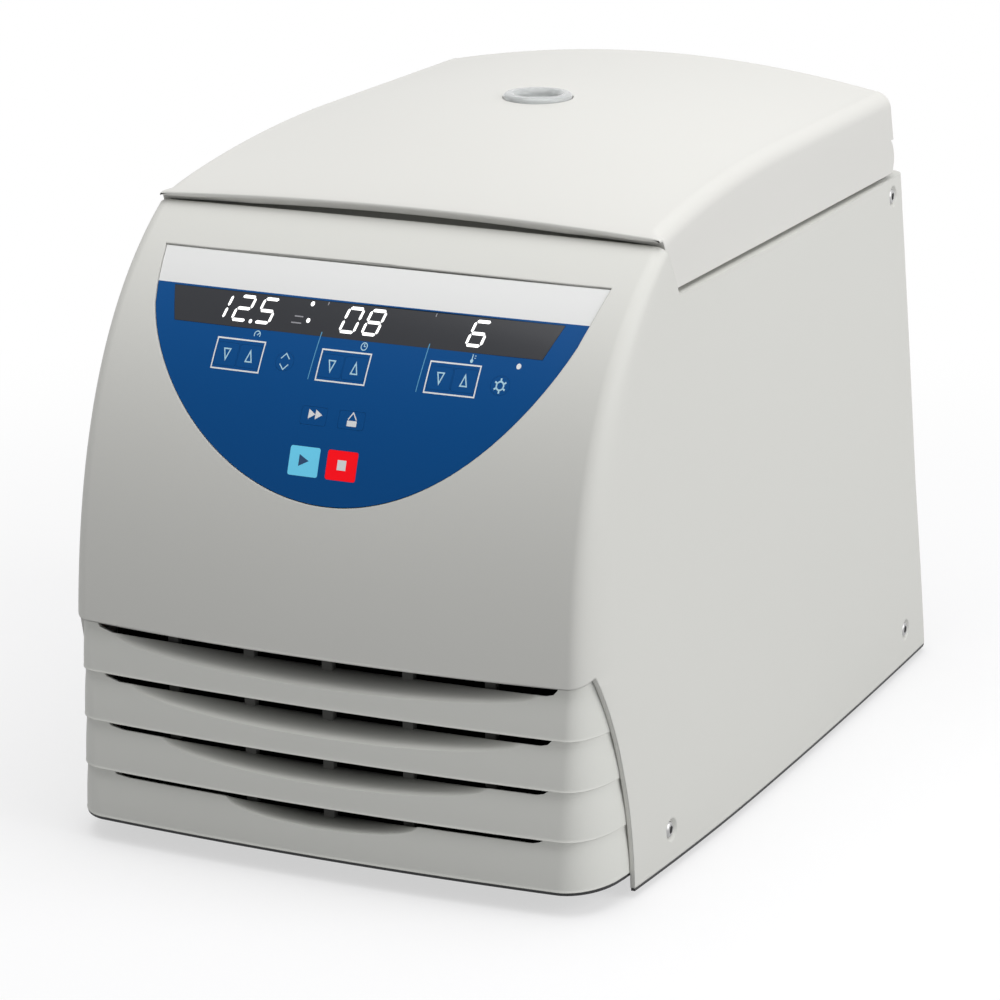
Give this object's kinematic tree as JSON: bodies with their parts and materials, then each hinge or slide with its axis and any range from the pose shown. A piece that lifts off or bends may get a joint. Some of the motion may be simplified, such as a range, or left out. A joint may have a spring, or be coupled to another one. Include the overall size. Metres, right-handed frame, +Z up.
{
  "type": "refrigerated microcentrifuge",
  "caption": "Cooled bench centrifuge for small tubes: moulded housing with a curved face and keypad, louvred air intake and a hinged domed lid with a round window.",
  "frame": {"origin": "on the bench, under the middle of the instrument", "axes": "+X the right-hand side, the front faces -Y, +Z up"},
  "size_m": [0.2892, 0.4494, 0.3303],
  "materials": {
    "moulding": "moulded, fine texture",
    "lid_moulding": "moulded, satin",
    "grille": "moulded, fine texture",
    "liner": "moulded, satin",
    "sheet": "zinc-grey paint",
    "rubber": "matt",
    "black_plastic": "matt",
    "black_gloss": "gloss",
    "stainless": "brushed",
    "copper": "drawn copper tube",
    "foam": "expanded foam",
    "anodised": "dark anodised",
    "cast": "die cast",
    "fins": "bright sheet fins on tube",
    "black_enamel": "gloss enamel",
    "circuit_board": "glass-fibre laminate",
    "blue_overlay": "printed film",
    "blue_key": "printed film",
    "cyan_key": "printed film",
    "red_key": "printed film",
    "dark_display": "dark window film",
    "clear": "clear polycarbonate"
  },
  "bodies": {
    "housing": {"housing_cover": "moulding", "front_grille": "grille", "rear_panel": "moulding", "base_tray": "sheet", "foot_front_left": "rubber", "foot_front_right": "rubber", "foot_rear_left": "rubber", "foot_rear_right": "rubber", "power_inlet": "black_plastic", "switch_frame": "black_plastic", "chamber_bowl": "stainless", "evaporator_coil": "copper", "bowl_insulation": "foam", "motor_housing": "cast", "motor_damper_front": "rubber", "motor_damper_right": "rubber", "motor_damper_left": "rubber", "motor_plate": "sheet", "condenser": "fins", "fan_shroud": "black_plastic", "compressor": "black_enamel", "filter_drier": "copper", "refrigerant_line": "copper", "power_board": "circuit_board", "keypad_overlay": "blue_overlay", "display_window": "dark_display", "control_board": "circuit_board", "latch_housing": "sheet", "latch_solenoid": "black_plastic", "hinge_block_left": "cast", "hinge_block_right": "cast", "hinge_pin_left": "stainless", "hinge_pin_right": "stainless", "lid_spring_left": "stainless", "lid_spring_right": "stainless"},
    "lid": {"lid_shell": "lid_moulding", "lid_liner": "liner", "lid_gasket": "rubber", "lid_window": "clear", "lid_striker": "stainless"},
    "rotor": {"rotor": "anodised", "rotor_lid": "anodised", "motor_shaft": "stainless"},
    "rotor_knob": {"rotor_knob": "black_plastic"},
    "fan": {"fan_impeller": "black_plastic"},
    "latch_hook": {"latch_hook": "stainless"},
    "latch_plunger": {"latch_plunger": "stainless"},
    "power_switch": {"power_switch": "black_gloss"},
    "key_speed_down": {"key_speed_down": "blue_key"},
    "key_speed_up": {"key_speed_up": "blue_key"},
    "key_time_down": {"key_time_down": "blue_key"},
    "key_time_up": {"key_time_up": "blue_key"},
    "key_temp_down": {"key_temp_down": "blue_key"},
    "key_temp_up": {"key_temp_up": "blue_key"},
    "key_ramp": {"key_ramp": "blue_key"},
    "key_precool": {"key_precool": "blue_key"},
    "key_pulse": {"key_pulse": "blue_key"},
    "key_open": {"key_open": "blue_key"},
    "key_start": {"key_start": "cyan_key"},
    "key_stop": {"key_stop": "red_key"}
  },
  "joints": [
    {"name": "lid_hinge", "type": "hinge", "parent": "housing", "child": "lid", "pos_m": [0, 0.168, 0.281], "axis": [-1, 0, 0], "range_deg": [0, 75]},
    {"name": "rotor_spin", "type": "hinge", "parent": "housing", "child": "rotor", "pos_m": [0, 0.017, 0.2], "axis": [0, 0, 1], "continuous": true},
    {"name": "rotor_knob_turn", "type": "hinge", "parent": "rotor", "child": "rotor_knob", "pos_m": [0, 0.017, 0.258], "axis": [0, 0, 1], "range_deg": [0, 180]},
    {"name": "fan_spin", "type": "hinge", "parent": "housing", "child": "fan", "pos_m": [0, -0.148, 0.0575], "axis": [0, 1, 0], "continuous": true},
    {"name": "latch_hook_pivot", "type": "hinge", "parent": "housing", "child": "latch_hook", "pos_m": [0, -0.1066, 0.2404], "axis": [1, 0, 0], "range_deg": [0, 12], "stiffness_Nm_per_rad": 0.6, "springref_deg": -5.73},
    {"name": "latch_plunger_slide", "type": "slide", "parent": "housing", "child": "latch_plunger", "axis": [0, 1, 0], "range_m": [0, 0.00295]},
    {"name": "power_switch_rock", "type": "hinge", "parent": "housing", "child": "power_switch", "pos_m": [-0.078, 0.2, 0.093], "axis": [-1, 0, 0], "range_deg": [0, 16]},
    {"name": "key_speed_down_press", "type": "slide", "parent": "housing", "child": "key_speed_down", "axis": [0.0182, 0.8515, -0.5241], "range_m": [0, 0.0004], "stiffness_N_per_m": 2000, "springref_m": -0.0001},
    {"name": "key_speed_up_press", "type": "slide", "parent": "housing", "child": "key_speed_up", "axis": [0.0147, 0.8509, -0.5251], "range_m": [0, 0.0004], "stiffness_N_per_m": 2000, "springref_m": -0.0001},
    {"name": "key_time_down_press", "type": "slide", "parent": "housing", "child": "key_time_down", "axis": [0.0024, 0.8499, -0.5269], "range_m": [0, 0.0004], "stiffness_N_per_m": 2000, "springref_m": -0.0001},
    {"name": "key_time_up_press", "type": "slide", "parent": "housing", "child": "key_time_up", "axis": [-0.0011, 0.8499, -0.527], "range_m": [0, 0.0004], "stiffness_N_per_m": 2000, "springref_m": -0.0001},
    {"name": "key_temp_down_press", "type": "slide", "parent": "housing", "child": "key_temp_down", "axis": [-0.0134, 0.8507, -0.5254], "range_m": [0, 0.0004], "stiffness_N_per_m": 2000, "springref_m": -0.0001},
    {"name": "key_temp_up_press", "type": "slide", "parent": "housing", "child": "key_temp_up", "axis": [-0.0169, 0.8513, -0.5245], "range_m": [0, 0.0004], "stiffness_N_per_m": 2000, "springref_m": -0.0001},
    {"name": "key_ramp_press", "type": "slide", "parent": "housing", "child": "key_ramp", "axis": [0.0094, 0.8514, -0.5244], "range_m": [0, 0.0004], "stiffness_N_per_m": 2000, "springref_m": -0.0001},
    {"name": "key_precool_press", "type": "slide", "parent": "housing", "child": "key_precool", "axis": [-0.0221, 0.8534, -0.5209], "range_m": [0, 0.0004], "stiffness_N_per_m": 2000, "springref_m": -0.0001},
    {"name": "key_pulse_press", "type": "slide", "parent": "housing", "child": "key_pulse", "axis": [0.0041, 0.9148, -0.4039], "range_m": [0, 0.0004], "stiffness_N_per_m": 2000, "springref_m": -0.0001},
    {"name": "key_open_press", "type": "slide", "parent": "housing", "child": "key_open", "axis": [-0.0027, 0.9148, -0.4039], "range_m": [0, 0.0004], "stiffness_N_per_m": 2000, "springref_m": -0.0001},
    {"name": "key_start_press", "type": "slide", "parent": "housing", "child": "key_start", "axis": [0.0053, 0.953, -0.3029], "range_m": [0, 0.0004], "stiffness_N_per_m": 2000, "springref_m": -0.0001},
    {"name": "key_stop_press", "type": "slide", "parent": "housing", "child": "key_stop", "axis": [-0.0026, 0.953, -0.303], "range_m": [0, 0.0004], "stiffness_N_per_m": 2000, "springref_m": -0.0001}
  ],
  "couplings": [
    {"joint": "latch_plunger_slide", "follows": "latch_hook_pivot", "m_per_rad": 0.014}
  ]
}
